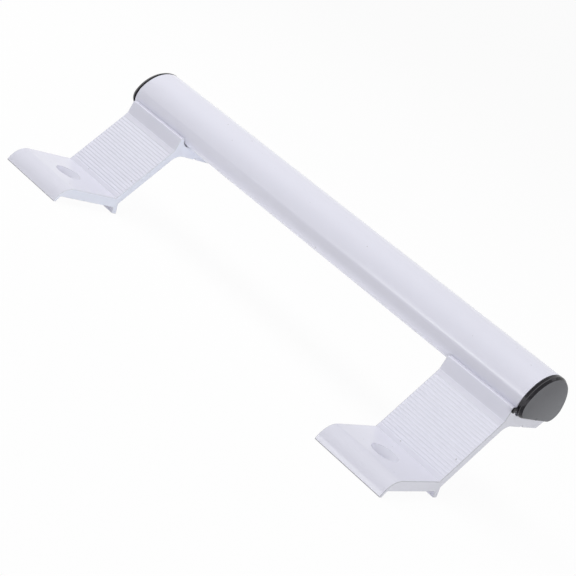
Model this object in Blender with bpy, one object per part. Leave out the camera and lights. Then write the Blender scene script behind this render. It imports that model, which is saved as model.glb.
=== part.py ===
"""Offset pull handle for a door: a D-section bar carried by two cranked feet, at real size in metres.

The door's face is the plane Z = 0 and +Z points away from the door. The bar runs along X. The origin
lies on the door's face, midway between the fixing holes of the two feet, and +Y points from the
holes towards the bar.
"""
import math

import bmesh
import bpy
from mathutils import Vector

# Fixing hole in each foot, for a countersunk bolt through the door
FIXING_SPACING = 0.300
FIXING_HOLE_DIAMETER = 0.009
FIXING_SINK_DIAMETER = 0.017

# Bar: a hollow round section with a flat underside
BAR_RADIUS = 0.0225
BAR_FLAT_DROP = 0.0062
BAR_CORNER_RADIUS = 0.009
BAR_WALL = 0.0022
BAR_FLOOR = 0.003
BAR_OFFSET = 0.0752
BAR_FLAT_HEIGHT = 0.0568

# Bracket: one section, cut to length
BRACKET_WIDTH = 0.052
FOOT_HEIGHT = 0.0107
PLATE_THICKNESS = 0.0066
LIP_REACH = 0.0282
LIP_RADIUS = 0.0111
LIP_LEAN = math.radians(12.0)
LIP_THICKNESS = 0.0022
LIP_TAPER = 0.0019
VALLEY_REACH = 0.0228
HEEL_REACH = 0.0297
HEEL_THICKNESS = 0.0038
HEEL_LEAN = 0.38
ARM_THICKNESS = 0.0055
ARM_FILLET = 0.010
HORN_RISE = 0.005
HORN_TIP_THICKNESS = 0.0033
HORN_TIP_SLANT = 0.0005
HORN_TIP_GAP = 0.0004
HORN_LEAN = -0.0002
CREASE_DROP = 0.0046
POCKET_RADIUS = 0.0063
SADDLE_THICKNESS = 0.0073
SADDLE_REACH = 0.020
SADDLE_CHAMFER = 0.005
SCREW_LINE_SHIFT = 0.0024
SCREW_LINE_GROOVE_DEPTH = 0.0011
SCREW_LINE_GROOVE_WIDTH = 0.0028
EDGE_RADIUS = 0.0004
TIP_RADIUS = 0.0009
INNER_FILLET = 0.0015

# Grooves along the arm, which leave ridges between them
RIDGE_PITCH = 0.00223
GROOVE_WIDTH = 0.0013
GROOVE_FLOOR_WIDTH = 0.0004
GROOVE_DEPTH = 0.0005
GROOVE_START = 0.0036
GROOVE_END_MARGIN = 0.0055

# End cap
CAP_THICKNESS = 0.0038
CAP_BEVEL = 0.0011
CAP_BEVEL_DEPTH = 0.0019
CAP_PLUG_DEPTH = 0.010
CAP_PLUG_WALL = 0.0018
CAP_PLUG_LEAD_IN = 0.0006
CAP_EDGE_TILT = math.radians(2.0)
CAP_EDGE_DROP = 0.0007
CAP_EAR_SIDE = "right"
CAP_EAR_THICKNESS = 0.0012
CAP_EAR_SETBACK = 0.0002
CAP_EAR_REACH = 0.0023
CAP_EAR_RISE = 0.0009
CAP_EAR_DROP = 0.0028
CAP_EAR_ROUND = 0.0016
CAP_EAR_ROOT = 0.0035

# Clamp screw, nut plate and the clearances of the assembly
SCREW_DIAMETER = 0.006
SCREW_HEAD_DIAMETER = 0.0126
SCREW_RECESS = 0.0004
SCREW_SOCKET_WIDTH = 0.004
SCREW_SOCKET_DEPTH = 0.0021
SCREW_TIP_CHAMFER = 0.0007
SCREW_STAND_OUT = 0.0006
SCREW_SPACING = 0.018
NUT_PLATE_THICKNESS = 0.005
NUT_PLATE_EDGE = 0.006
NUT_PLATE_CHAMFER = 0.0005
NUT_PLATE_TO_PLUG = 0.001
CONTACT_GAP = 0.0003
SCREW_GAP = 0.0004
CUT_OVERRUN = 0.002

# Fineness of the round stretches
ARC_STEP = math.radians(8.0)
SHARP_ANGLE = math.radians(30.0)
BAR_ARC_SEGMENTS = 30
BAR_CORNER_SEGMENTS = 8
CAP_BEVEL_SEGMENTS = 3
POCKET_SEGMENTS = 10
ROUND_SEGMENTS = 24
HOLE_SEGMENTS = 36

# Places that follow from the sizes above
FIXING_X = FIXING_SPACING / 2
BAR_END_X = FIXING_X + BRACKET_WIDTH / 2
BAR_AXIS_Z = BAR_FLAT_HEIGHT + BAR_FLAT_DROP
SEAT_Z = BAR_FLAT_HEIGHT - CONTACT_GAP
SADDLE_UNDERSIDE_Z = SEAT_Z - SADDLE_THICKNESS
SCREW_LINE_Y = BAR_OFFSET - SCREW_LINE_SHIFT
SCREW_FACE_Z = SADDLE_UNDERSIDE_Z + SCREW_RECESS
NUT_PLATE_Z = BAR_FLAT_HEIGHT + BAR_FLOOR + CONTACT_GAP
SCREW_TIP_Z = NUT_PLATE_Z + NUT_PLATE_THICKNESS + SCREW_STAND_OUT
OUTER_SCREW_X = BAR_END_X - CAP_PLUG_DEPTH - NUT_PLATE_TO_PLUG - NUT_PLATE_EDGE
INNER_SCREW_X = OUTER_SCREW_X - SCREW_SPACING
SIDES = {"left": -1, "right": 1}


def clear_scene():
    for item in list(bpy.data.objects):
        bpy.data.objects.remove(item, do_unlink=True)


def plain_material(name, colour, roughness, metallic):
    material = bpy.data.materials.new(name)
    material.use_nodes = True
    shader = material.node_tree.nodes["Principled BSDF"]
    shader.inputs["Base Color"].default_value = (*colour, 1.0)
    shader.inputs["Roughness"].default_value = roughness
    shader.inputs["Metallic"].default_value = metallic
    return material


def white_coat(name):
    return plain_material(name, (0.80, 0.80, 0.85), 0.38, 0.0)


def black_plastic(name):
    return plain_material(name, (0.035, 0.035, 0.038), 0.45, 0.0)


def plated_steel(name):
    return plain_material(name, (0.56, 0.57, 0.58), 0.35, 1.0)


def add_object(name, mesh, location, parent):
    item = bpy.data.objects.new(name, mesh)
    item.location = location
    item.parent = parent
    bpy.context.scene.collection.objects.link(item)
    return item


def loft(name, rings, tube=False):
    """A closed mesh through rings of equally many points: its ends are capped, or joined as a tube."""
    shape = bmesh.new()
    rows = [[shape.verts.new(point) for point in ring] for ring in rings]
    pairs = list(zip(rows, rows[1:]))
    if tube:
        pairs.append((rows[-1], rows[0]))
    else:
        shape.faces.new(rows[0])
        shape.faces.new(rows[-1])
    count = len(rows[0])
    for row, following in pairs:
        for index in range(count):
            after = (index + 1) % count
            shape.faces.new((row[index], row[after], following[after], following[index]))
    bmesh.ops.recalc_face_normals(shape, faces=shape.faces)
    mesh = bpy.data.meshes.new(name)
    shape.to_mesh(mesh)
    shape.free()
    mesh.shade_smooth()
    mesh.set_sharp_from_angle(angle=SHARP_ANGLE)
    return mesh


def combine(item, other, operation):
    """Cuts or joins a helper shape, which stays in the scene as a wire guide."""
    other.hide_render = True
    other.display_type = "WIRE"
    modifier = item.modifiers.new(other.name, "BOOLEAN")
    modifier.operation = operation
    modifier.solver = "EXACT"
    modifier.object = other


def at_x(outline, x):
    return [(x, y, z) for y, z in outline]


def circle_ring(radius, z, segments):
    angles = [2 * math.pi * step / segments for step in range(segments)]
    return [(radius * math.cos(angle), radius * math.sin(angle), z) for angle in angles]


def hexagon_ring(width, z, segments):
    """A hexagon across flats of the given width, with as many points as a circle of that many segments."""
    ring = []
    for step in range(segments):
        angle = 2 * math.pi * step / segments
        from_flat = (angle + math.pi / 6) % (math.pi / 3) - math.pi / 6
        radius = width / 2 / math.cos(from_flat)
        ring.append((radius * math.cos(angle), radius * math.sin(angle), z))
    return ring


def arc(centre, radius, start, end, segments):
    angles = [start + (end - start) * step / segments for step in range(segments + 1)]
    return [(centre[0] + radius * math.cos(a), centre[1] + radius * math.sin(a)) for a in angles]


def rounded_outline(corners):
    """Points of a closed outline through corners (y, z, radius), each rounded with an arc."""
    outline = []
    for index, (y, z, radius) in enumerate(corners):
        corner = Vector((y, z))
        before = (Vector(corners[index - 1][:2]) - corner).normalized()
        after = (Vector(corners[(index + 1) % len(corners)][:2]) - corner).normalized()
        opening = before.angle(after)
        turn = math.pi - opening
        if radius == 0:
            outline.append((y, z))
            continue
        reach = radius / math.tan(opening / 2)
        centre = corner + (before + after).normalized() * radius / math.sin(opening / 2)
        start = corner + before * reach - centre
        end = corner + after * reach - centre
        first = math.atan2(start.y, start.x)
        sweep = math.remainder(math.atan2(end.y, end.x) - first, 2 * math.pi)
        outline += arc(centre, radius, first, first + sweep, max(2, math.ceil(turn / ARC_STEP)))
    return outline


def line_crossing(point, direction, other_point, other_direction):
    """Where two lines of the section cross."""
    offset = other_point - point
    reach = offset.cross(other_direction) / direction.cross(other_direction)
    return point + direction * reach


def corner_centre(inset, floor):
    """Centre of the bar's corner on the +Y side, from the bar's axis, for a section set in all round."""
    radius = BAR_CORNER_RADIUS - inset
    height = floor - BAR_FLAT_DROP + radius
    reach = BAR_RADIUS - inset - radius
    return math.sqrt(reach * reach - height * height), height


def bar_outline(inset, floor):
    """The bar's section about its axis, set in by one amount on the round and another on the flat."""
    across, height = corner_centre(inset, floor)
    meeting = math.atan2(height, across)
    radius = BAR_CORNER_RADIUS - inset
    segments = BAR_CORNER_SEGMENTS
    over_top = arc((0, 0), BAR_RADIUS - inset, meeting, math.pi - meeting, BAR_ARC_SEGMENTS)
    near = arc((-across, height), radius, math.pi - meeting, 1.5 * math.pi, segments)
    far = arc((across, height), radius, 1.5 * math.pi, 2 * math.pi + meeting, segments)
    return over_top + near[1:] + far[:-1]


def turned(outline, angle):
    """An outline turned about the bar's axis."""
    cos, sin = math.cos(angle), math.sin(angle)
    return [(y * cos - z * sin, y * sin + z * cos) for y, z in outline]


def horn_tip():
    """Inner edge of the horn's tip, just clear of the bar's rounded corner."""
    across, height = corner_centre(0, 0)
    tip_z = SEAT_Z + HORN_RISE
    drop = BAR_AXIS_Z + height - tip_z
    bar_side = BAR_OFFSET - across - math.sqrt(BAR_CORNER_RADIUS ** 2 - drop ** 2)
    return Vector((bar_side - HORN_TIP_GAP, tip_z))


def pocket_circle():
    """Centre and radius of the hollow from the horn's tip to the seat, tighter than the bar's corner."""
    reach = math.sqrt(2 * POCKET_RADIUS * HORN_RISE - HORN_RISE ** 2)
    return Vector((horn_tip().x + reach, SEAT_Z + POCKET_RADIUS)), POCKET_RADIUS


def grooved_arm(valley, crease):
    """Corners of the arm's outer face: grooves at an even pitch, with ridges flush between them."""
    along = (crease - valley).normalized()
    inward = Vector((along.y, -along.x))
    room = (crease - valley).length - GROOVE_START - GROOVE_END_MARGIN
    corners = []
    for number in range(math.floor(room / RIDGE_PITCH) + 1):
        middle = GROOVE_START + number * RIDGE_PITCH
        for reach, depth in (
            (-GROOVE_WIDTH / 2, 0),
            (-GROOVE_FLOOR_WIDTH / 2, GROOVE_DEPTH),
            (GROOVE_FLOOR_WIDTH / 2, GROOVE_DEPTH),
            (GROOVE_WIDTH / 2, 0),
        ):
            point = valley + along * (middle + reach) + inward * depth
            corners.append((point.x, point.y, 0))
    return corners


def bracket_outline():
    """Section of a bracket, from the lip's lower edge over the outer side and back along the underside."""
    tip = horn_tip()
    pocket, pocket_radius = pocket_circle()
    horn_outer = tip.x - HORN_TIP_THICKNESS
    valley = Vector((VALLEY_REACH, FOOT_HEIGHT))
    crease = Vector((horn_outer + HORN_LEAN, SEAT_Z - CREASE_DROP))
    along = (crease - valley).normalized()
    arm_underside = valley + Vector((along.y, -along.x)) * ARM_THICKNESS
    level = Vector((1, 0))
    lean = Vector((-HEEL_LEAN, 1)).normalized()
    heel = Vector((HEEL_REACH, 0))
    heel_inner = Vector((HEEL_REACH - HEEL_THICKNESS, 0))
    plate_underside = Vector((0, FOOT_HEIGHT - PLATE_THICKNESS))
    under_arm = line_crossing(arm_underside, along, Vector((0, SADDLE_UNDERSIDE_Z)), level)
    notch = line_crossing(arm_underside, along, heel, lean)
    heel_root = line_crossing(plate_underside, level, heel_inner, lean)
    lip_root = -LIP_REACH + LIP_THICKNESS + LIP_TAPER
    saddle_end = BAR_OFFSET + SADDLE_REACH
    groove_half = SCREW_LINE_GROOVE_WIDTH / 2

    outer_side = [
        (-LIP_REACH, 0, EDGE_RADIUS),
        (-LIP_REACH + FOOT_HEIGHT * math.tan(LIP_LEAN), FOOT_HEIGHT, LIP_RADIUS),
        (valley.x, valley.y, EDGE_RADIUS),
        *grooved_arm(valley, crease),
        (crease.x, crease.y, EDGE_RADIUS),
        (horn_outer, tip.y - HORN_TIP_SLANT, TIP_RADIUS),
        (tip.x, tip.y, TIP_RADIUS),
    ]
    below_rounding = tip.y - 2 * TIP_RADIUS
    hollow_start = math.pi + math.asin((pocket.y - below_rounding) / pocket_radius)
    hollow = arc(pocket, pocket_radius, hollow_start, 1.5 * math.pi, POCKET_SEGMENTS)
    underside = [
        (saddle_end, SEAT_Z, EDGE_RADIUS),
        (saddle_end, SADDLE_UNDERSIDE_Z + SADDLE_CHAMFER, EDGE_RADIUS),
        (saddle_end - SADDLE_CHAMFER, SADDLE_UNDERSIDE_Z, EDGE_RADIUS),
        (SCREW_LINE_Y + groove_half, SADDLE_UNDERSIDE_Z, 0),
        (SCREW_LINE_Y, SADDLE_UNDERSIDE_Z + SCREW_LINE_GROOVE_DEPTH, 0),
        (SCREW_LINE_Y - groove_half, SADDLE_UNDERSIDE_Z, 0),
        (under_arm.x, under_arm.y, ARM_FILLET),
        (notch.x, notch.y, EDGE_RADIUS),
        (heel.x, heel.y, EDGE_RADIUS),
        (heel_inner.x, heel_inner.y, EDGE_RADIUS),
        (heel_root.x, heel_root.y, INNER_FILLET),
        (lip_root, plate_underside.y, INNER_FILLET),
        (-LIP_REACH + LIP_THICKNESS, 0, EDGE_RADIUS),
    ]
    return rounded_outline([*outer_side, *((y, z, 0) for y, z in hollow), *underside])


def fixing_hole_cutter(name, location, parent):
    """A through hole with a countersink at the top of the foot, about its own axis."""
    hole = FIXING_HOLE_DIAMETER / 2
    sink = FIXING_SINK_DIAMETER / 2
    profile = [
        (sink, FOOT_HEIGHT + CUT_OVERRUN),
        (sink, FOOT_HEIGHT),
        (hole, FOOT_HEIGHT - (sink - hole)),
        (hole, FOOT_HEIGHT - PLATE_THICKNESS - CUT_OVERRUN),
    ]
    mesh = loft(name, [circle_ring(radius, z, HOLE_SEGMENTS) for radius, z in profile])
    return add_object(name, mesh, location, parent)


def screw_hole_cutter(name, location, parent):
    """Room for a clamp screw and its head in the saddle and the bar's floor, from the screw's face up."""
    head = SCREW_HEAD_DIAMETER / 2 + SCREW_GAP
    shank = SCREW_DIAMETER / 2 + SCREW_GAP
    profile = [
        (head, -CUT_OVERRUN),
        (head, 0),
        (shank, head - shank),
        (shank, NUT_PLATE_Z - SCREW_FACE_Z),
    ]
    mesh = loft(name, [circle_ring(radius, z, HOLE_SEGMENTS) for radius, z in profile])
    return add_object(name, mesh, location, parent)


def nut_hole_cutter(name, location, parent):
    shank = SCREW_DIAMETER / 2 + CONTACT_GAP
    span = (-CUT_OVERRUN, NUT_PLATE_THICKNESS + CUT_OVERRUN)
    mesh = loft(name, [circle_ring(shank, z, HOLE_SEGMENTS) for z in span])
    return add_object(name, mesh, location, parent)


def make_bar(parent, screw_holes):
    outer = bar_outline(0, 0)
    inner = bar_outline(BAR_WALL, BAR_FLOOR)
    mesh = loft(
        "grip_bar",
        [at_x(outer, -BAR_END_X), at_x(outer, BAR_END_X), at_x(inner, BAR_END_X), at_x(inner, -BAR_END_X)],
        tube=True,
    )
    mesh.materials.append(white_coat("bar_coat"))
    bar = add_object("grip_bar", mesh, (0, BAR_OFFSET, BAR_AXIS_Z), parent)
    for hole in screw_holes:
        combine(bar, hole, "DIFFERENCE")


def make_bracket(side, parent, screw_holes):
    name = f"{side}_bracket"
    outline = bracket_outline()
    half = BRACKET_WIDTH / 2
    mesh = loft(name, [at_x(outline, -half), at_x(outline, half)])
    mesh.materials.append(white_coat(f"{name}_coat"))
    place = (SIDES[side] * FIXING_X, 0, 0)
    bracket = add_object(name, mesh, place, parent)
    combine(bracket, fixing_hole_cutter(f"{side}_fixing_hole", place, parent), "DIFFERENCE")
    for hole in screw_holes:
        combine(bracket, hole, "DIFFERENCE")


def ear_outline():
    """A rounded tongue beside the bar's corner, about the bar's axis, which covers the horn's end."""
    tip = horn_tip() - Vector((BAR_OFFSET, BAR_AXIS_Z))
    end = tip.x - HORN_TIP_THICKNESS - CAP_EAR_REACH
    root = tip.x + CAP_EAR_ROOT
    low = tip.y - CAP_EAR_DROP
    high = tip.y + CAP_EAR_RISE
    corners = [(root, low, 0), (root, high, 0), (end, high, CAP_EAR_ROUND), (end, low, CAP_EAR_ROUND)]
    return rounded_outline(corners)


def add_ear(cap, outward, parent):
    """Joins the tongue over the horn's end to a cap."""
    tongue = ear_outline()
    back = CONTACT_GAP + CAP_EAR_SETBACK
    span = (outward * back, outward * (back + CAP_EAR_THICKNESS))
    mesh = loft("cap_ear", [at_x(tongue, x) for x in span])
    combine(cap, add_object("cap_ear", mesh, cap.location, parent), "UNION")


def make_end_cap(side, parent):
    """A plate over the bar's end and a hollow plug inside the bar, with a tongue on one of the two caps."""
    name = f"{side}_end_cap"
    outward = SIDES[side]
    plug = BAR_WALL + CONTACT_GAP
    plug_floor = BAR_FLOOR + CONTACT_GAP
    lead = CAP_PLUG_LEAD_IN
    back = CONTACT_GAP
    front = CONTACT_GAP + CAP_THICKNESS
    plate = []
    for step in range(CAP_BEVEL_SEGMENTS + 1):
        angle = math.pi / 2 * step / CAP_BEVEL_SEGMENTS
        inset = CAP_BEVEL * (1 - math.sin(angle))
        plate.append((inset, front - CAP_BEVEL_DEPTH * (1 - math.cos(angle))))
    plate.append((0, back))
    plug_steps = [
        (plug, plug_floor, back),
        (plug, plug_floor, lead - CAP_PLUG_DEPTH),
        (plug + lead, plug_floor + lead, -CAP_PLUG_DEPTH),
        (plug + CAP_PLUG_WALL, plug_floor + CAP_PLUG_WALL, -CAP_PLUG_DEPTH),
        (plug + CAP_PLUG_WALL, plug_floor + CAP_PLUG_WALL, back),
    ]
    rings = []
    for inset, x in plate:
        outline = bar_outline(inset, inset - CAP_EDGE_DROP)
        rings.append(at_x(turned(outline, -CAP_EDGE_TILT), outward * x))
    rings += [at_x(bar_outline(inset, floor), outward * x) for inset, floor, x in plug_steps]
    mesh = loft(name, rings)
    mesh.materials.append(black_plastic(f"{name}_plastic"))
    place = (outward * BAR_END_X, BAR_OFFSET, BAR_AXIS_Z)
    cap = add_object(name, mesh, place, parent)
    if side == CAP_EAR_SIDE:
        add_ear(cap, outward, parent)


def make_nut_plate(side, parent):
    """A tapped plate that lies on the flat floor inside the bar, between its rounded corners."""
    name = f"{side}_nut_plate"
    across, _ = corner_centre(BAR_WALL, BAR_FLOOR)
    half_width = across - CONTACT_GAP
    half_length = SCREW_SPACING / 2 + NUT_PLATE_EDGE
    edge = NUT_PLATE_CHAMFER
    steps = [(edge, 0), (0, edge), (0, NUT_PLATE_THICKNESS - edge), (edge, NUT_PLATE_THICKNESS)]
    signs = ((-1, -1), (1, -1), (1, 1), (-1, 1))
    rings = [
        [(a * (half_length - inset), b * (half_width - inset), z) for a, b in signs] for inset, z in steps
    ]
    mesh = loft(name, rings)
    mesh.materials.append(plated_steel(f"{name}_steel"))
    middle = SIDES[side] * (OUTER_SCREW_X + INNER_SCREW_X) / 2
    plate = add_object(name, mesh, (middle, BAR_OFFSET, NUT_PLATE_Z), parent)
    for place, x in (("outer", OUTER_SCREW_X), ("inner", INNER_SCREW_X)):
        at = (SIDES[side] * x, SCREW_LINE_Y, NUT_PLATE_Z)
        combine(plate, nut_hole_cutter(f"{side}_{place}_nut_hole", at, parent), "DIFFERENCE")


def screw_mesh():
    """A countersunk socket screw about its own axis, from its face at 0 up to its tip."""
    head = SCREW_HEAD_DIAMETER / 2
    shank = SCREW_DIAMETER / 2
    length = SCREW_TIP_Z - SCREW_FACE_Z
    rings = [hexagon_ring(SCREW_SOCKET_WIDTH, z, ROUND_SEGMENTS) for z in (SCREW_SOCKET_DEPTH, 0)]
    profile = [
        (head, 0),
        (shank, head - shank),
        (shank, length - SCREW_TIP_CHAMFER),
        (shank - SCREW_TIP_CHAMFER, length),
    ]
    rings += [circle_ring(radius, z, ROUND_SEGMENTS) for radius, z in profile]
    return loft("clamp_screw", rings)


def make_handle():
    clear_scene()
    handle = bpy.data.objects.new("pull_handle", None)
    bpy.context.scene.collection.objects.link(handle)
    bar_holes = []
    for side, outward in SIDES.items():
        holes = []
        for place, x in (("outer", OUTER_SCREW_X), ("inner", INNER_SCREW_X)):
            at = (outward * x, SCREW_LINE_Y, SCREW_FACE_Z)
            holes.append(screw_hole_cutter(f"{side}_{place}_screw_hole", at, handle))
            mesh = screw_mesh()
            mesh.materials.append(plated_steel(f"{side}_{place}_screw_steel"))
            add_object(f"{side}_{place}_clamp_screw", mesh, at, handle)
        make_bracket(side, handle, holes)
        make_nut_plate(side, handle)
        make_end_cap(side, handle)
        bar_holes += holes
    make_bar(handle, bar_holes)


make_handle()
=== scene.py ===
"""Finish of an offset door pull handle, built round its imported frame: metres, the door's face at Z = 0."""
import math

import bmesh
import bpy
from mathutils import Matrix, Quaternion, Vector


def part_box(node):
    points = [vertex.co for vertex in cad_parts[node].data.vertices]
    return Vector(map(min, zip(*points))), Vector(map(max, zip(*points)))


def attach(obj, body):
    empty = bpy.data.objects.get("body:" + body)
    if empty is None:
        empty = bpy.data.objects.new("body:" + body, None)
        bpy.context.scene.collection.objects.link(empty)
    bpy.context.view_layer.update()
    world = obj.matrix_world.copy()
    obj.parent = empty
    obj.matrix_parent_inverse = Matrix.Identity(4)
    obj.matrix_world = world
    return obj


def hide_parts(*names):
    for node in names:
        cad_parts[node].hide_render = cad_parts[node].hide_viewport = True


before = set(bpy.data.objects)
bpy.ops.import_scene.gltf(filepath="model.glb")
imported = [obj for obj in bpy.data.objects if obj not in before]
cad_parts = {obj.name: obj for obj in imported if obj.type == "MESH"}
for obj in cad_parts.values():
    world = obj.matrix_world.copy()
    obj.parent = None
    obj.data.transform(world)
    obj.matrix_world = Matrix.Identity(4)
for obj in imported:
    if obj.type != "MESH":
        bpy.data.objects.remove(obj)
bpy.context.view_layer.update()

# Section of the bar
BAR_RADIUS = 0.0225
BAR_FLAT_DROP = 0.0062
BAR_CORNER_RADIUS = 0.009
BAR_WALL = 0.0022
BAR_FLOOR = 0.003
BAR_END_ROUND = 0.0003
BAR_OVERHANG = {"left": 0.0028, "right": -0.0001}
END_SLANT = {"left": 0.06, "right": 0.0}
SHOULDER_ANGLE = math.radians(165.1)
SHOULDER_SLOPE = 0.24
SHOULDER_LENGTH = 0.0105
SHOULDER_SOFTNESS = 0.00018

# Section of a bracket
FOOT_HEIGHT = 0.0107
PLATE_THICKNESS = 0.0066
LIP_RADIUS = 0.013
LIP_LEAN = math.radians(20)
LIP_THICKNESS = 0.0022
LIP_TAPER = 0.0019
VALLEY_REACH = 0.0228
HEEL_REACH = 0.0297
HEEL_THICKNESS = 0.0038
HEEL_LEAN = 0.38
ARM_THICKNESS = 0.0055
ARM_FILLET = 0.010
HORN_RISE = 0.0052
HORN_TIP_THICKNESS = 0.0031
HORN_TIP_SLANT = 0.0007
HORN_TIP_PRESS = 0.00025
HORN_LEAN = -0.0002
BRIDGE_REACH = 0.0007
BRIDGE_DROP = 0.0005
BRIDGE_RADIUS = 0.0008
HOLLOW_DROP = 0.001
CREASE_DROP = 0.0046
CREASE_RADIUS = 0.001
POCKET_RADIUS = 0.0063
SADDLE_THICKNESS = 0.0073
SADDLE_CHAMFER = 0.005
SCREW_LINE_GROOVE_DEPTH = 0.0011
SCREW_LINE_GROOVE_WIDTH = 0.0028
EDGE_RADIUS = 0.0005
TIP_RADIUS = 0.0007
INNER_FILLET = 0.0015
CUT_EDGE_ROUND = 0.00035

# Ridges along the arm
RIDGE_PITCH = 0.00223
RIDGE_TOLERANCE = 0.000011
GROOVE_WIDTH = 0.0015
GROOVE_DEPTH = 0.00022
GROOVE_START = 0.0036
GROOVE_END_MARGIN = 0.0038

# Holes and gaps
FIXING_HOLE_RADIUS = 0.0045
FIXING_SINK_RADIUS = 0.0085
FIXING_MOUTH_ROUND = 0.0003
SCREW_GAP = 0.0004
CONTACT_GAP = 0.0003
CUT_OVERRUN = 0.002

# End cap
CAP_PROUD = {"left": 0.0020, "right": 0.0}
CAP_BEVEL = 0.0011
CAP_BEVEL_DEPTH = 0.0019
CAP_EDGE_ROUND = 0.00022
CAP_SIDE_ROUND = 0.001
# half the width of the painted highlight line round the rim
CAP_HIGHLIGHT_HALF = 0.0002
CAP_PLUG_DEPTH = 0.010
CAP_PLUG_WALL = 0.0018
CAP_PLUG_LEAD_IN = 0.0006
CAP_EDGE_TILT = math.radians(2.0)
CAP_EDGE_DROP = 0.0007
CAP_EAR_SIDE = "right"
CAP_EAR_THICKNESS = 0.0012
CAP_EAR_SETBACK = 0.0002
CAP_EAR_REACH = 0.0023
CAP_EAR_RISE = 0.0007
CAP_EAR_DROP = 0.0030
CAP_EAR_ROUND = 0.0016
CAP_EAR_EDGE = 0.0003
CAP_EAR_KNOB = 0.0034
CAP_EAR_NOTCH = 0.0017
CAP_EAR_ROOT = 0.0035
GATE_RADIUS = 0.0008
GATE_HEIGHT = 0.0004
GATE_DROP = 0.0053
GATE_SINK = 0.00006

# Clamp screws
SCREW_RADIUS = 0.003
SCREW_HEAD_RADIUS = 0.0063
SCREW_HEAD_EDGE = 0.0002
SCREW_HEAD_BAND = 0.0003
SCREW_SOCKET_WIDTH = 0.004
SCREW_SOCKET_DEPTH = 0.0021
SCREW_SOCKET_CHAMFER = 0.0002
SOCKET_POINT_DEPTH = 0.0008
SOCKET_POINT_SHARE = 0.1
SOCKET_FLOOR_SHARE = 0.97
SOCKET_MOUTH_SHARE = 1.2
SCREW_TIP_CHAMFER = 0.0007
THREAD_PITCH = 0.001
THREAD_DEPTH = 0.00055
THREAD_START = 0.0045
THREAD_STEEPNESS = 1.25

# Fineness of the round stretches
ARC_STEP = math.radians(4)
ARC_FEWEST_STEPS = 3
SHARP_ANGLE = math.radians(32)
FLAT_FACE_WEIGHT = 100
BAR_ARC_SEGMENTS = 312
BAR_CORNER_SEGMENTS = 48
GROOVE_SEGMENTS = 10
ROUND_SEGMENTS = 72
EDGE_SEGMENTS = 4
GATE_SEGMENTS = 24
THREAD_STEPS = 8

# Colours, with the heights and the run of the bands of painted shade on the bar's flank and on the feet
COAT_COLOUR = (0.785, 0.785, 0.885)
COAT_SHADE = (0.775, 0.775, 0.873)
# painted shade on the bar's sides below the shoulder, fading out towards the left end
FLANK_PAINTED_SHADE = (0.718, 0.718, 0.810)
FLANK_SHADE_HEIGHTS = (-0.0018, 0.0012, 0.0044, 0.0058)
FLANK_SHADE_RUN = (-0.09, 0.02)
# painted shade over the feet's plates and lips, below their arms
FOOT_PAINTED_SHADE = (0.742, 0.742, 0.836)
FOOT_SHADE_HEIGHTS = (-0.002, -0.001, 0.0106, 0.0112)
FOOT_SHADE_RUN = (-0.03, -0.028)
# cut ends of the feet: painted light makes the left bracket's lighter, painted shade makes the right's darker
END_FACE_PAINTED_LIGHT_AND_SHADE = {"left": (0.832, 0.863, 0.970), "right": (0.750, 0.754, 0.836)}
# painted highlight on the crests of the arms' ridges and in the crease above them
RIDGE_PAINTED_HIGHLIGHT = (0.845, 0.845, 0.952)
RIDGE_HIGHLIGHT_SHADE = (0.835, 0.835, 0.940)
# painted shade along the rounded edges of the cut ends, deeper on the right bracket
CUT_EDGE_PAINTED_SHADES = {"left": (0.72, 0.74, 0.80), "right": (0.55, 0.56, 0.60)}
# painted shadow along the lip's lower edge, where it meets the floor
LIP_EDGE_PAINTED_SHADOW = (0.27, 0.27, 0.29)
LIP_EDGE_SHADOW_DEEPER = (0.23, 0.23, 0.25)
COAT_SPECK = (0.52, 0.52, 0.56)
FACE_COLOUR = (0.103, 0.105, 0.116)
# painted light: the cap's face turns lighter towards one side
FACE_PAINTED_LIGHT = (0.190, 0.194, 0.209)
FACE_LIGHT_TOWARDS = (0.0, 0.755, -0.655)
FACE_LIGHT_REACH = 0.013
FACE_HAZE = (0.140, 0.142, 0.152)
FACE_GRIT = (0.165, 0.167, 0.180)
RIM_COLOUR = (0.010, 0.0095, 0.012)
RIM_FLOW = (0.020, 0.019, 0.023)
# painted glint in a few lighter patches on the rim
RIM_PAINTED_GLINT = (0.055, 0.053, 0.059)
# painted highlight: a lighter line round the rim where its side meets the bevel
RIM_PAINTED_HIGHLIGHT = (0.080, 0.079, 0.084)
RIM_HIGHLIGHT_FLOW = (0.115, 0.113, 0.120)
ZINC_COLOUR = (0.62, 0.63, 0.64)
ZINC_SHADE = (0.50, 0.51, 0.53)

# Noise in the finishes: its scale and detail, the values it is read between and what those become
COAT_CLOUDS = (14.0, 3.0, 0.3, 0.7, 0.0, 1.0)
COAT_GRAIN = (1500.0, 2.0, 0.35, 0.75, 0.0, 1.0)
COAT_SPECKS = (420.0, 1.0, 0.79, 0.82, 0.0, 1.0)
COAT_ROUGHNESS = (60.0, 2.0, 0.3, 0.7, 0.20, 0.215)
FACE_HAZE_SHARE = (120.0, 4.0, 0.35, 0.7, 0.0, 0.3)
# where the rim's patches of painted glint fall
RIM_GLINT_PATCHES = (150.0, 1.0, 0.56, 0.68, 0.0, 1.0)
ZINC_ROUGHNESS = (700.0, 2.0, 0.3, 0.7, 0.24, 0.42)

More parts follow.
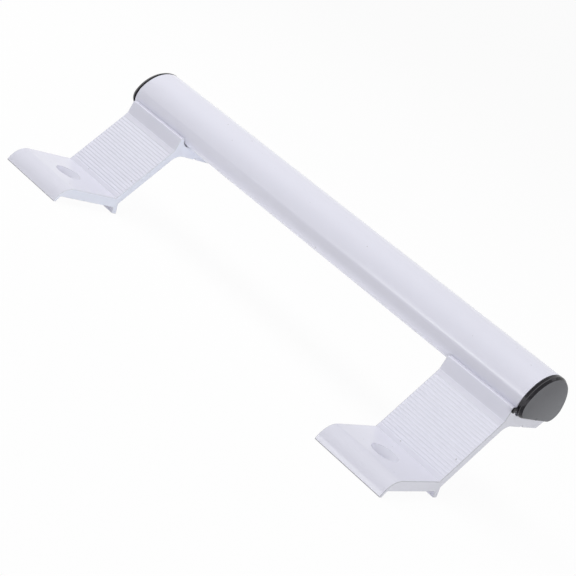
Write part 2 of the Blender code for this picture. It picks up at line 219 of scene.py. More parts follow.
# Texture of the finishes: scales along X, Y and Z, detail, and height of the relief
COAT_IOR = 1.5
PEEL_SCALE = 450.0
PEEL_DETAIL = 1.0
PEEL_HEIGHT = 0.0000025
DRAWN_SCALES = (3.0, 900.0, 900.0)
DRAWN_HEIGHT = 0.0000006
SAWN_SCALES = (0.0, 260.0, 1700.0)
SAWN_HEIGHT = 0.000003
LINE_DETAIL = 2.0
END_FACE_FADE = (0.95, 0.995)
SQUARE_TO_BAR = 0.99
GRIT_SCALE = 2600.0
GRIT_DETAIL = 3.0
GRIT_HARSHNESS = 0.6
GRIT_SHOWN = (0.55, 0.85)
GRIT_READ = (0.3, 0.7)
GRIT_ROUGHNESS = (0.5, 0.68)
GRIT_HEIGHT = 0.00004
FLOW_SCALES = (900.0, 60.0, 60.0)
FLOW_DETAIL = 3.0
RIM_GRAIN_SCALE = 1800.0
RIM_GRAIN_DETAIL = 2.0
RIM_GRAIN_READ = (0.3, 0.7)
RIM_ROUGHNESS = (0.2, 0.32)
RIM_GRAIN_HEIGHT = 0.000006
RIM_SPECULAR = 0.15
SPANGLE_SCALE = 900.0
TURNED_SCALES = (200.0, 200.0, 2500.0)
TURNED_HEIGHT = 0.000008

# Stage: floor, world, camera and lamps, which have a name, place, width, height and power and may be mirrored
FLOOR_HALF = 30.0
FLOOR_DROP = 0.0002
FLOOR_COLOUR = (0.93, 0.93, 0.93)
FLOOR_GRAIN = (0.92, 0.92, 0.92)
FLOOR_GRAIN_SCALE = 40.0
FLOOR_GRAIN_DETAIL = 3.0
FLOOR_SHOWN = 0.95
WORLD_LIGHT = 0.245
CAMERA_PLACE = Vector((0.54775, -0.75176, 0.28495))
CAMERA_TARGET = Vector((0.03428, 0.01010, 0.04325))
CAMERA_ROLL = math.radians(30.45)
CAMERA_LENS = 102.60
CAMERA_NEAR = 0.01
LAMP_TARGET = Vector((0, 0.04, 0.05))
LAMPS = (
    ("overhead", (0.0, -0.14, 1.63), 1.0, 1.0, 8.8, False),
    ("upper_left", (-0.60, 0.04, 1.53), 1.0, 1.0, 4.7, False),
    ("left", (-1.26, -0.10, 1.00), 1.0, 1.0, 7.0, False),
    ("right", (1.37, -0.75, 0.33), 1.0, 0.5, 7.2, False),
    ("under", (0.0, -0.50, -1.40), 1.2, 1.2, 3.9, False),
    ("low_strip", (-0.50, -1.33, 0.50), 0.6, 0.22, 1.85, True),
)

# Places read from the frame
bar_low, bar_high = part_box("grip_bar")
foot_low, foot_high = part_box("right_bracket")
cap_low, cap_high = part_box("right_end_cap")
screw_low, screw_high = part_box("right_outer_clamp_screw")
BAR_END_X = bar_high.x
BAR_Y = (bar_low.y + bar_high.y) / 2
BAR_AXIS_Z = bar_low.z + BAR_FLAT_DROP
SEAT_Z = bar_low.z - CONTACT_GAP
SADDLE_UNDERSIDE_Z = SEAT_Z - SADDLE_THICKNESS
SADDLE_END_Y = foot_high.y
LIP_REACH = -foot_low.y
BRACKET_HALF = (foot_high.x - foot_low.x) / 2
FIXING_X = (foot_low.x + foot_high.x) / 2
SCREW_LINE_Y = (screw_low.y + screw_high.y) / 2
SCREW_FACE_Z = screw_low.z
SCREW_LENGTH = screw_high.z - screw_low.z
CAP_FRONT = cap_high.x - BAR_END_X
SIDES = {"left": -1, "right": 1}
SCREW_PLACES = ("outer", "inner")


def at_x(outline, x):
    return [(x, y, z) for y, z in outline]


def at_z(ring, z):
    return [(x, y, z) for x, y in ring]


def at_end(outline, side, x):
    """An outline across the bar, slanted as the bar's end on that side is cut."""
    return [(x - SIDES[side] * END_SLANT[side] * z, y, z) for y, z in outline]


def circle(radius, segments):
    angles = [2 * math.pi * step / segments for step in range(segments)]
    return [(radius * math.cos(angle), radius * math.sin(angle)) for angle in angles]


def arc(centre, radius, start, end, segments):
    angles = [start + (end - start) * step / segments for step in range(segments + 1)]
    return [(centre[0] + radius * math.cos(a), centre[1] + radius * math.sin(a)) for a in angles]


def rounded_outline(corners):
    """Points of a closed outline through corners (y, z, radius), each rounded with an arc."""
    outline = []
    for index, (y, z, radius) in enumerate(corners):
        corner = Vector((y, z))
        before = (Vector(corners[index - 1][:2]) - corner).normalized()
        after = (Vector(corners[(index + 1) % len(corners)][:2]) - corner).normalized()
        opening = before.angle(after)
        if radius == 0:
            outline.append((y, z))
            continue
        reach = radius / math.tan(opening / 2)
        centre = corner + (before + after).normalized() * radius / math.sin(opening / 2)
        start = corner + before * reach - centre
        end = corner + after * reach - centre
        first = math.atan2(start.y, start.x)
        sweep = math.remainder(math.atan2(end.y, end.x) - first, 2 * math.pi)
        steps = max(ARC_FEWEST_STEPS, math.ceil((math.pi - opening) / ARC_STEP))
        outline += arc(centre, radius, first, first + sweep, steps)
    return outline


def set_in(outline, amount):
    """An outline moved inwards by an even amount, which is less than its tightest corner's radius."""
    points = [Vector(point) for point in outline]
    following = points[1:] + points[:1]
    turn = math.copysign(1, sum(a.cross(b) for a, b in zip(points, following)))
    moved = []
    for before, point, after in zip(points[-1:] + points[:-1], points, following):
        arriving = (point - before).normalized()
        leaving = (after - point).normalized()
        first = Vector((-arriving.y, arriving.x)) * turn
        second = Vector((-leaving.y, leaving.x)) * turn
        moved.append(tuple(point + (first + second) * amount / (1 + first.dot(second))))
    return moved


def turned(outline, angle):
    """An outline turned about the bar's axis."""
    cos, sin = math.cos(angle), math.sin(angle)
    return [(y * cos - z * sin, y * sin + z * cos) for y, z in outline]


def rounding(radius):
    """Steps (inset, depth) over a rounded edge, from the end face down to the side."""
    angles = [math.pi / 2 * step / EDGE_SEGMENTS for step in range(EDGE_SEGMENTS + 1)]
    return [(radius * (1 - math.sin(angle)), radius * (1 - math.cos(angle))) for angle in angles]


def line_crossing(point, direction, other_point, other_direction):
    """Where two lines of the section cross."""
    reach = (other_point - point).cross(other_direction) / direction.cross(other_direction)
    return point + direction * reach


def loft(name, rings, tube=False):
    """A closed mesh through rings of equally many points: its ends are capped, or joined as a tube."""
    shape = bmesh.new()
    rows = [[shape.verts.new(point) for point in ring] for ring in rings]
    pairs = list(zip(rows, rows[1:]))
    if tube:
        pairs.append((rows[-1], rows[0]))
    else:
        shape.faces.new(rows[0])
        shape.faces.new(rows[-1])
    count = len(rows[0])
    for row, following in pairs:
        for index in range(count):
            after = (index + 1) % count
            shape.faces.new((row[index], row[after], following[after], following[index]))
    bmesh.ops.recalc_face_normals(shape, faces=shape.faces)
    mesh = bpy.data.meshes.new(name)
    shape.to_mesh(mesh)
    shape.free()
    return mesh


def rounded_slab(name, outline, low, high, radius):
    """An outline carried along X from low to high, with the edges round both ends rounded."""
    edge = rounding(radius)
    rings = [at_x(set_in(outline, inset), low + depth) for inset, depth in edge]
    rings += [at_x(set_in(outline, inset), high - depth) for inset, depth in reversed(edge)]
    return loft(name, rings)


def turned_solid(name, profile):
    """A solid about its own upright axis, through steps (radius, z)."""
    return loft(name, [at_z(circle(radius, ROUND_SEGMENTS), z) for radius, z in profile])


def add_object(name, data, location=(0, 0, 0)):
    item = bpy.data.objects.new(name, data)
    item.location = location
    bpy.context.scene.collection.objects.link(item)
    return item


def settle(item):
    """Replaces an object's mesh by what its modifiers make of it."""
    bpy.context.view_layer.update()
    made = bpy.data.meshes.new_from_object(item.evaluated_get(bpy.context.evaluated_depsgraph_get()))
    item.modifiers.clear()
    item.data = made
    made.name = item.name


def combine(item, operation, others):
    """Cuts helper shapes out of an object or joins them to it, and removes them."""
    for other in others:
        modifier = item.modifiers.new(other.name, "BOOLEAN")
        modifier.operation = operation
        modifier.solver = "EXACT"
        modifier.object = other
    settle(item)
    for other in others:
        bpy.data.objects.remove(other, do_unlink=True)


def smooth(item):
    """Rounds the shading of curved stretches, and leaves flat faces flat."""
    item.data.shade_smooth()
    item.data.set_sharp_from_angle(angle=SHARP_ANGLE)
    modifier = item.modifiers.new("even_flats", "WEIGHTED_NORMAL")
    modifier.keep_sharp = True
    modifier.weight = FLAT_FACE_WEIGHT
    settle(item)


def corner_centre(inset, floor):
    """Centre of the bar's corner on the +Y side, from the bar's axis, for a section set in all round."""
    radius = BAR_CORNER_RADIUS - inset
    height = floor - BAR_FLAT_DROP + radius
    reach = BAR_RADIUS - inset - radius
    return math.sqrt(reach * reach - height * height), height


def bar_outline(inset, floor):
    """The bar's section about its axis, set in by one amount on the round and another on the flat."""
    across, height = corner_centre(inset, floor)
    meeting = math.atan2(height, across)
    radius = BAR_CORNER_RADIUS - inset
    over_top = arc((0, 0), BAR_RADIUS - inset, meeting, math.pi - meeting, BAR_ARC_SEGMENTS)
    near = arc((-across, height), radius, math.pi - meeting, 1.5 * math.pi, BAR_CORNER_SEGMENTS)
    far = arc((across, height), radius, 1.5 * math.pi, 2 * math.pi + meeting, BAR_CORNER_SEGMENTS)
    return over_top + near[1:] + far[:-1]


def soft_start(run, softness):
    """0 before a run starts and the run itself past its start, going softly from one to the other."""
    steps = run / softness
    return softness * (max(steps, 0) + math.log1p(math.exp(-abs(steps))))


def shouldered(outline):
    """The bar's outer section with the faint shoulder where its round top meets each side."""
    across, height = corner_centre(0, 0)
    junction = math.pi - math.atan2(height, across)
    shaped = []
    for y, z in outline:
        side = math.copysign(1, y)
        normal = math.atan2(z, -abs(y)) % (2 * math.pi)
        run = (normal - SHOULDER_ANGLE) * BAR_RADIUS
        if normal > junction:
            normal = math.atan2(z - height, across - abs(y)) % (2 * math.pi)
            run = (junction - SHOULDER_ANGLE) * BAR_RADIUS + (normal - junction) * BAR_CORNER_RADIUS
        past = soft_start(run, SHOULDER_SOFTNESS)
        depth = SHOULDER_SLOPE * past * max(0, 1 - past / SHOULDER_LENGTH) ** 2
        shaped.append((y + side * math.cos(normal) * depth, z - math.sin(normal) * depth))
    return shaped


def horn_tip():
    """Inner edge of the horn's tip, pressed lightly against the bar's rounded corner."""
    across, height = corner_centre(0, 0)
    tip_z = SEAT_Z + HORN_RISE
    drop = BAR_AXIS_Z + height - tip_z
    bar_side = BAR_Y - across - math.sqrt(BAR_CORNER_RADIUS ** 2 - drop ** 2)
    return Vector((bar_side + HORN_TIP_PRESS, tip_z))


def pocket_centre():
    """Centre of the hollow from the horn's tip to the seat, which is tighter than the bar's corner."""
    reach = math.sqrt(2 * POCKET_RADIUS * HORN_RISE - HORN_RISE ** 2)
    return Vector((horn_tip().x + reach, SEAT_Z + POCKET_RADIUS))


def arm_ends():
    """Lower and upper end of the arm's outer face."""
    crease_y = horn_tip().x - HORN_TIP_THICKNESS + HORN_LEAN
    return Vector((VALLEY_REACH, FOOT_HEIGHT)), Vector((crease_y, SEAT_Z - CREASE_DROP))


def ribbed_arm(valley, crease):
    """Points of the arm's outer face: soft grooves at an even pitch, which leave rounded ridges."""
    along = (crease - valley).normalized()
    inward = Vector((along.y, -along.x))
    room = (crease - valley).length - GROOVE_START - GROOVE_END_MARGIN
    points = []
    for number in range(math.floor(room / RIDGE_PITCH) + 1):
        middle = GROOVE_START + number * RIDGE_PITCH
        for step in range(GROOVE_SEGMENTS + 1):
            share = step / GROOVE_SEGMENTS - 0.5
            depth = GROOVE_DEPTH * (1 + math.cos(2 * math.pi * share)) / 2
            point = valley + along * (middle + share * GROOVE_WIDTH) + inward * depth
            points.append((point.x, point.y, 0))
    return points


def bracket_outline():
    """Section of a bracket, from the lip's lower edge over the outer side and back along the underside."""
    tip = horn_tip()
    pocket = pocket_centre()
    valley, crease = arm_ends()
    along = (crease - valley).normalized()
    arm_underside = valley + Vector((along.y, -along.x)) * ARM_THICKNESS
    level = Vector((1, 0))
    lean = Vector((-HEEL_LEAN, 1)).normalized()
    heel = Vector((HEEL_REACH, 0))
    heel_inner = Vector((HEEL_REACH - HEEL_THICKNESS, 0))
    plate_underside = Vector((0, FOOT_HEIGHT - PLATE_THICKNESS))
    under_arm = line_crossing(arm_underside, along, Vector((0, SADDLE_UNDERSIDE_Z)), level)
    notch = line_crossing(arm_underside, along, heel, lean)
    heel_root = line_crossing(plate_underside, level, heel_inner, lean)
    lip_root = -LIP_REACH + LIP_THICKNESS + LIP_TAPER
    groove_half = SCREW_LINE_GROOVE_WIDTH / 2
    outer_side = [
        (-LIP_REACH, 0, EDGE_RADIUS),
        (-LIP_REACH + FOOT_HEIGHT * math.tan(LIP_LEAN), FOOT_HEIGHT, LIP_RADIUS),
        (valley.x, valley.y, EDGE_RADIUS),
        *ribbed_arm(valley, crease),
        (crease.x, crease.y, CREASE_RADIUS),
        (tip.x - HORN_TIP_THICKNESS, tip.y - HORN_TIP_SLANT, TIP_RADIUS),
        (tip.x - BRIDGE_REACH, tip.y - BRIDGE_DROP, BRIDGE_RADIUS),
        (tip.x, tip.y, 0),
    ]
    hollow_start = math.pi + math.asin((pocket.y - tip.y + HOLLOW_DROP) / POCKET_RADIUS)
    hollow_steps = math.ceil((1.5 * math.pi - hollow_start) / ARC_STEP)
    hollow = arc(pocket, POCKET_RADIUS, hollow_start, 1.5 * math.pi, hollow_steps)
    underside = [
        (SADDLE_END_Y, SEAT_Z, EDGE_RADIUS),
        (SADDLE_END_Y, SADDLE_UNDERSIDE_Z + SADDLE_CHAMFER, EDGE_RADIUS),
        (SADDLE_END_Y - SADDLE_CHAMFER, SADDLE_UNDERSIDE_Z, EDGE_RADIUS),
        (SCREW_LINE_Y + groove_half, SADDLE_UNDERSIDE_Z, 0),
        (SCREW_LINE_Y, SADDLE_UNDERSIDE_Z + SCREW_LINE_GROOVE_DEPTH, 0),
        (SCREW_LINE_Y - groove_half, SADDLE_UNDERSIDE_Z, 0),
        (under_arm.x, under_arm.y, ARM_FILLET),
        (notch.x, notch.y, EDGE_RADIUS),
        (heel.x, heel.y, EDGE_RADIUS),
        (heel_inner.x, heel_inner.y, EDGE_RADIUS),
        (heel_root.x, heel_root.y, INNER_FILLET),
        (lip_root, plate_underside.y, INNER_FILLET),
        (-LIP_REACH + LIP_THICKNESS, 0, EDGE_RADIUS),
    ]
    return rounded_outline([*outer_side, *((y, z, 0) for y, z in hollow), *underside])


def ear_outline():
    """A tongue with a round knob beside the bar's corner, about the bar's axis, over the horn's end."""
    tip = horn_tip() - Vector((BAR_Y, BAR_AXIS_Z))
    end = tip.x - HORN_TIP_THICKNESS - CAP_EAR_REACH
    root = tip.x + CAP_EAR_ROOT
    low = tip.y - CAP_EAR_DROP
    high = tip.y + CAP_EAR_RISE
    waist = low + CAP_EAR_NOTCH
    knob = end + CAP_EAR_KNOB
    corners = [
        (root, waist, EDGE_RADIUS),
        (root, high, EDGE_RADIUS),
        (end, high, CAP_EAR_ROUND),
        (end, low, CAP_EAR_ROUND),
        (knob, low, CAP_EAR_ROUND),
        (knob, waist, 0),
    ]
    return rounded_outline(corners)


def node(tree, kind, inputs=None, **settings):
    """A shader node with its settings made and its inputs linked or set."""
    made = tree.nodes.new(kind)
    for name, value in settings.items():
        setattr(made, name, value)
    for name, value in (inputs or {}).items():
        if isinstance(value, bpy.types.NodeSocket):
            tree.links.new(value, made.inputs[name])
        else:
            made.inputs[name].default_value = value
    return made


def calculated(tree, operation, *values):
    """The result of an operation such as MULTIPLY on numbers or sockets."""
    return node(tree, "ShaderNodeMath", dict(enumerate(values)), operation=operation).outputs[0]


def remap(tree, value, low, high, to_low, to_high):
    inputs = {"Value": value, "From Min": low, "From Max": high, "To Min": to_low, "To Max": to_high}
    return node(tree, "ShaderNodeMapRange", inputs).outputs["Result"]


def noise(tree, place, scale, detail, roughness=0.5):
    inputs = {"Vector": place, "Scale": scale, "Detail": detail, "Roughness": roughness}
    return node(tree, "ShaderNodeTexNoise", inputs).outputs["Fac"]


def spread_noise(tree, place, scale, detail, low, high, to_low, to_high):
    """Noise whose values from low to high are spread from to_low to to_high."""
    return remap(tree, noise(tree, place, scale, detail), low, high, to_low, to_high)


def stretched_noise(tree, place, scales, detail):
    """Noise with a scale of its own along each axis."""
    stretched = node(tree, "ShaderNodeVectorMath", {0: place, 1: scales}, operation="MULTIPLY")
    return noise(tree, stretched.outputs[0], 1.0, detail)


def tinted(tree, share, colour, other):
    """A colour that goes over to another as the share goes from 0 to 1."""
    mix = node(tree, "ShaderNodeMix", data_type="RGBA")
    tree.links.new(share, mix.inputs["Factor"])
    sockets = [socket for socket in mix.inputs if socket.type == "RGBA"]
    for socket, value in zip(sockets, (colour, other)):
        if isinstance(value, bpy.types.NodeSocket):
            tree.links.new(value, socket)
        else:
            socket.default_value = (*value, 1)
    return next(socket for socket in mix.outputs if socket.type == "RGBA")


def bump(tree, height, distance, normal=None):
    inputs = {"Height": height, "Distance": distance, "Strength": 1.0}
    if normal is not None:
        inputs["Normal"] = normal
    return node(tree, "ShaderNodeBump", inputs).outputs["Normal"]


def new_material(name):
    """A material, its node tree, its shader and its texture space, in metres."""
    material = bpy.data.materials.new(name)
    material.use_nodes = True
    tree = material.node_tree
    place = node(tree, "ShaderNodeTexCoord").outputs["Object"]
    return material, tree, tree.nodes["Principled BSDF"], place


def end_face_share(tree):
    """1 on faces square to the bar's length, 0 elsewhere."""
    facing = node(tree, "ShaderNodeTexCoord").outputs["Normal"]
    along = node(tree, "ShaderNodeSeparateXYZ", {0: facing}).outputs["X"]
    return remap(tree, calculated(tree, "ABSOLUTE", along), *END_FACE_FADE, 0.0, 1.0)


def painted_shade_share(tree, place, heights, run):
    """Where painted shade goes: 1 between the middle two of four heights, fading to 0 beyond them, and
    growing over a run along X.
    """
    parts = node(tree, "ShaderNodeSeparateXYZ", {0: place}).outputs
    below = remap(tree, parts["Z"], heights[0], heights[1], 0.0, 1.0)
    above = remap(tree, parts["Z"], heights[2], heights[3], 1.0, 0.0)
    along = remap(tree, parts["X"], *run, 0.0, 1.0)
    return calculated(tree, "MULTIPLY", calculated(tree, "MULTIPLY", below, above), along)


def powder_coat(name, colour, shade, end_colour, painted_shade_colour=None, heights=None, run=None):
    """Powder coat: orange peel, drawing lines along the extrusion, saw marks on cut ends, an optional band of
    painted shade, and cut ends in a colour of their own, which on the feet is painted light on the left and
    painted shade on the right.
    """
    material, tree, shader, place = new_material(name)
    on_end = end_face_share(tree)
    clouded = tinted(tree, spread_noise(tree, place, *COAT_CLOUDS), colour, shade)
    grained = tinted(tree, spread_noise(tree, place, *COAT_GRAIN), clouded, shade)
    # a band of painted shade
    if painted_shade_colour:
        grained = tinted(tree, painted_shade_share(tree, place, heights, run), grained, painted_shade_colour)
    # cut ends in their own colour: painted light on the left foot, painted shade on the right
    ended = tinted(tree, on_end, grained, end_colour)
    specked = tinted(tree, spread_noise(tree, place, *COAT_SPECKS), ended, COAT_SPECK)
    tree.links.new(specked, shader.inputs["Base Color"])
    tree.links.new(spread_noise(tree, place, *COAT_ROUGHNESS), shader.inputs["Roughness"])
    shader.inputs["IOR"].default_value = COAT_IOR
    peel = bump(tree, noise(tree, place, PEEL_SCALE, PEEL_DETAIL), PEEL_HEIGHT)
    drawn = bump(tree, stretched_noise(tree, place, DRAWN_SCALES, LINE_DETAIL), DRAWN_HEIGHT, peel)
    saw_marks = calculated(tree, "MULTIPLY", stretched_noise(tree, place, SAWN_SCALES, LINE_DETAIL), on_end)
    tree.links.new(bump(tree, saw_marks, SAWN_HEIGHT, drawn), shader.inputs["Normal"])
    return material


def moulded_face(name):
    """Fine spark-eroded texture on the cap's face, made lighter towards one side by painted light, with a
    haze of scuffs.
    """
    material, tree, shader, place = new_material(name)
    grit = noise(tree, place, GRIT_SCALE, GRIT_DETAIL, GRIT_HARSHNESS)
    inputs = {0: place, 1: FACE_LIGHT_TOWARDS}
    towards = node(tree, "ShaderNodeVectorMath", inputs, operation="DOT_PRODUCT").outputs["Value"]
    # painted light, lighter towards one side of the face
    lit_share = remap(tree, towards, -FACE_LIGHT_REACH, FACE_LIGHT_REACH, 0.0, 1.0)
    lit_face = tinted(tree, lit_share, FACE_COLOUR, FACE_PAINTED_LIGHT)
    hazed = tinted(tree, spread_noise(tree, place, *FACE_HAZE_SHARE), lit_face, FACE_HAZE)
    speckled = tinted(tree, remap(tree, grit, *GRIT_SHOWN, 0.0, 1.0), hazed, FACE_GRIT)
    tree.links.new(speckled, shader.inputs["Base Color"])
    tree.links.new(remap(tree, grit, *GRIT_READ, *GRIT_ROUGHNESS), shader.inputs["Roughness"])
    tree.links.new(bump(tree, grit, GRIT_HEIGHT), shader.inputs["Normal"])
    return material


def moulded_rim(name, colour, flow_colour):
    """Smooth black moulding round the cap's edge, with faint flow marks and a few lighter patches of painted
    glint.
    """
    material, tree, shader, place = new_material(name)
    flowing = tinted(tree, stretched_noise(tree, place, FLOW_SCALES, FLOW_DETAIL), colour, flow_colour)
    # patches of painted glint
    glinted = tinted(tree, spread_noise(tree, place, *RIM_GLINT_PATCHES), flowing, RIM_PAINTED_GLINT)
    tree.links.new(glinted, shader.inputs["Base Color"])
    grain = noise(tree, place, RIM_GRAIN_SCALE, RIM_GRAIN_DETAIL)
    tree.links.new(remap(tree, grain, *RIM_GRAIN_READ, *RIM_ROUGHNESS), shader.inputs["Roughness"])
    shader.inputs["Specular IOR Level"].default_value = RIM_SPECULAR
    tree.links.new(bump(tree, grain, RIM_GRAIN_HEIGHT), shader.inputs["Normal"])
    return material


def zinc_plate(name):
    """Bright zinc over steel, with a faint spangle and turning marks."""
    material, tree, shader, place = new_material(name)
    spangle = node(tree, "ShaderNodeTexVoronoi", {"Vector": place, "Scale": SPANGLE_SCALE}).outputs["Color"]
    tone = node(tree, "ShaderNodeSeparateColor", {0: spangle}).outputs[0]
    tree.links.new(tinted(tree, tone, ZINC_COLOUR, ZINC_SHADE), shader.inputs["Base Color"])
    tree.links.new(spread_noise(tree, place, *ZINC_ROUGHNESS), shader.inputs["Roughness"])
    shader.inputs["Metallic"].default_value = 1.0
    turning_marks = stretched_noise(tree, place, TURNED_SCALES, LINE_DETAIL)
    tree.links.new(bump(tree, turning_marks, TURNED_HEIGHT), shader.inputs["Normal"])
    return material


# A foot's coat: painted shade on its plate and lip, painted light on the left foot's cut ends and painted
# shade on the right's
def foot_coat(side):
    name = f"{side}_foot_coat"
    end_colour = END_FACE_PAINTED_LIGHT_AND_SHADE[side]
    return powder_coat(name, COAT_COLOUR, COAT_SHADE, end_colour, FOOT_PAINTED_SHADE, FOOT_SHADE_HEIGHTS, FOOT_SHADE_RUN)


# painted shade along a bracket's cut edges
def cut_edge_shade_coat(side):
    colour = CUT_EDGE_PAINTED_SHADES[side]
    return powder_coat(f"{side}_cut_edge_shade_coat", colour, colour, colour)


# the bar's coat carries the painted shade on its flanks
bar_coat = powder_coat(
    "white_powder_coat", COAT_COLOUR, COAT_SHADE, COAT_COLOUR, FLANK_PAINTED_SHADE, FLANK_SHADE_HEIGHTS, FLANK_SHADE_RUN)
foot_coats = {side: foot_coat(side) for side in SIDES}
# painted highlight on the ridge crests
ridge_highlight_coat = powder_coat("painted_highlight_on_ridges", RIDGE_PAINTED_HIGHLIGHT, RIDGE_HIGHLIGHT_SHADE, RIDGE_PAINTED_HIGHLIGHT)
cut_edge_shade_coats = {side: cut_edge_shade_coat(side) for side in SIDES}
# painted shadow on the lip's lower edge
lip_edge_shadow_coat = powder_coat("painted_shadow_on_lip_edge", LIP_EDGE_PAINTED_SHADOW, LIP_EDGE_SHADOW_DEEPER, LIP_EDGE_PAINTED_SHADOW)
cap_face = moulded_face("black_moulded_face")
cap_rim = moulded_rim("black_moulded_rim", RIM_COLOUR, RIM_FLOW)
# painted highlight on the rim's edge
cap_edge_highlight = moulded_rim("black_moulded_edge_painted_highlight", RIM_PAINTED_HIGHLIGHT, RIM_HIGHLIGHT_FLOW)
zinc = zinc_plate("zinc_plate")

# Order of the materials on a bracket and on a cap
PLAIN, CUT_EDGE, LIP_EDGE, RIDGE = range(4)
RIM, FACE, HIGHLIGHT_EDGE = range(3)


def screw_position(side, place):
    """Middle of a clamp screw's face."""
    low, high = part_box(f"{side}_{place}_clamp_screw")
    return (low.x + high.x) / 2, SCREW_LINE_Y, SCREW_FACE_Z


def screw_hole_cutter(side, place):
    """Room for a clamp screw and its head in the saddle and the bar's floor."""
    head = SCREW_HEAD_RADIUS + SCREW_GAP
    shank = SCREW_RADIUS + SCREW_GAP
    profile = [
        (head, -CUT_OVERRUN),
        (head, 0),
        (shank, head - shank),
        (shank, BAR_AXIS_Z - BAR_FLAT_DROP + BAR_FLOOR + CONTACT_GAP - SCREW_FACE_Z),
    ]
    return add_object("screw_hole", turned_solid("screw_hole", profile), screw_position(side, place))


def fixing_hole_cutter(x):
    """A through hole with a countersink and a softened mouth at the top of the foot."""
    edge = rounding(FIXING_MOUTH_ROUND)
    sink_floor = FOOT_HEIGHT - FIXING_MOUTH_ROUND - (FIXING_SINK_RADIUS - FIXING_HOLE_RADIUS)
    profile = [
        (FIXING_SINK_RADIUS + FIXING_MOUTH_ROUND, FOOT_HEIGHT + CUT_OVERRUN),
        *((FIXING_SINK_RADIUS + inset, FOOT_HEIGHT - depth) for inset, depth in edge),
        (FIXING_HOLE_RADIUS, sink_floor),
        (FIXING_HOLE_RADIUS, -CUT_OVERRUN),
    ]
    return add_object("fixing_hole", turned_solid("fixing_hole", profile), (x, 0, 0))


def make_bar():
    outer = shouldered(bar_outline(0, 0))
    inner = bar_outline(BAR_WALL, BAR_FLOOR)
    edge = rounding(BAR_END_ROUND)
    left = -BAR_END_X - BAR_OVERHANG["left"]
    right = BAR_END_X + BAR_OVERHANG["right"]
    rings = [at_end(set_in(outer, inset), "left", left + depth) for inset, depth in edge]
    rings += [at_end(set_in(outer, inset), "right", right - depth) for inset, depth in reversed(edge)]
    rings += [at_end(inner, "right", right), at_end(inner, "left", left)]
    bar = add_object("bar", loft("bar", rings, tube=True), (0, BAR_Y, BAR_AXIS_Z))
    combine(bar, "DIFFERENCE", [screw_hole_cutter(side, place) for side in SIDES for place in SCREW_PLACES])
    smooth(bar)
    bar.data.materials.append(bar_coat)
    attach(bar, "handle")
    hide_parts("grip_bar")


def on_cut_edge(face):
    """Whether a bracket's face lies on the rounded edge of one of its cut ends."""
    return abs(face.center.x) > BRACKET_HALF - CUT_EDGE_ROUND and abs(face.normal.x) < SQUARE_TO_BAR


def on_lip_edge(face):
    """Whether a bracket's face lies on the rounding along the lip's lower edge."""
    return face.center.z < EDGE_RADIUS and face.center.y < EDGE_RADIUS - LIP_REACH


def on_ridge(face, valley, crease):
    """Whether a bracket's face lies on a ridge between two grooves of the arm, or in the crease above it."""
    middle = Vector((face.center.y, face.center.z))
    if (middle - crease).length < CREASE_RADIUS / 2:
        return True
    along = (crease - valley).normalized()
    run = (middle - valley).dot(along)
    depth = abs((middle - valley).cross(along))
    if depth > RIDGE_TOLERANCE or not GROOVE_START < run < (crease - valley).length - GROOVE_END_MARGIN:
        return False
    return abs(math.remainder(run - GROOVE_START, RIDGE_PITCH)) > GROOVE_WIDTH / 2


def bracket_material(face, valley, crease):
    """Which of a bracket's finishes a face has: the plain coat, painted shade on a cut edge, painted shadow
    on the lip's lower edge, or the painted highlight on a ridge.
    """
    if on_lip_edge(face):
        return LIP_EDGE
    if on_cut_edge(face):
        return CUT_EDGE
    return RIDGE if on_ridge(face, valley, crease) else PLAIN


def make_bracket(side):
    middle = SIDES[side] * FIXING_X
    mesh = rounded_slab(f"{side}_foot", bracket_outline(), -BRACKET_HALF, BRACKET_HALF, CUT_EDGE_ROUND)
    bracket = add_object(f"{side}_foot", mesh, (middle, 0, 0))
    holes = [screw_hole_cutter(side, place) for place in SCREW_PLACES]
    combine(bracket, "DIFFERENCE", [fixing_hole_cutter(middle), *holes])
    smooth(bracket)
    for material in (foot_coats[side], cut_edge_shade_coats[side], lip_edge_shadow_coat, ridge_highlight_coat):
        bracket.data.materials.append(material)
    valley, crease = arm_ends()
    for face in bracket.data.polygons:
        face.material_index = bracket_material(face, valley, crease)
    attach(bracket, "handle")
    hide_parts(f"{side}_bracket")


def plate_steps(back, front):
    """Steps (inset, x) over a cap's plate, from its face's edge over the bevel and round to its back."""
    inside = BAR_RADIUS / 2
    closing = [(inside, back, 0), (inside, front, 0)]
    corners = [
        (CAP_BEVEL, front, CAP_EDGE_ROUND),
        (0, front - CAP_BEVEL_DEPTH, CAP_SIDE_ROUND),
        (0, back, CAP_EDGE_ROUND),
    ]
    return rounded_outline(closing + corners)[len(closing):]


def plug_steps(back):
    """Steps (inset, inset from the flat, x) over a cap's plug, from the plate's back round to its hollow."""
    plug = BAR_WALL + CONTACT_GAP
    plug_floor = BAR_FLOOR + CONTACT_GAP
    hollow = plug + CAP_PLUG_WALL
    hollow_floor = plug_floor + CAP_PLUG_WALL
    lead = CAP_PLUG_LEAD_IN
    return [
        (plug, plug_floor, back),
        (plug, plug_floor, lead - CAP_PLUG_DEPTH),
        (plug + lead, plug_floor + lead, -CAP_PLUG_DEPTH),
        (hollow, hollow_floor, -CAP_PLUG_DEPTH),
        (hollow, hollow_floor, back),
    ]


def ear_mesh(outward):
    back = CONTACT_GAP + CAP_EAR_SETBACK
    front = back + CAP_EAR_THICKNESS
    low, high = sorted((outward * back, outward * front))
    return rounded_slab("ear", ear_outline(), low, high, CAP_EAR_EDGE)


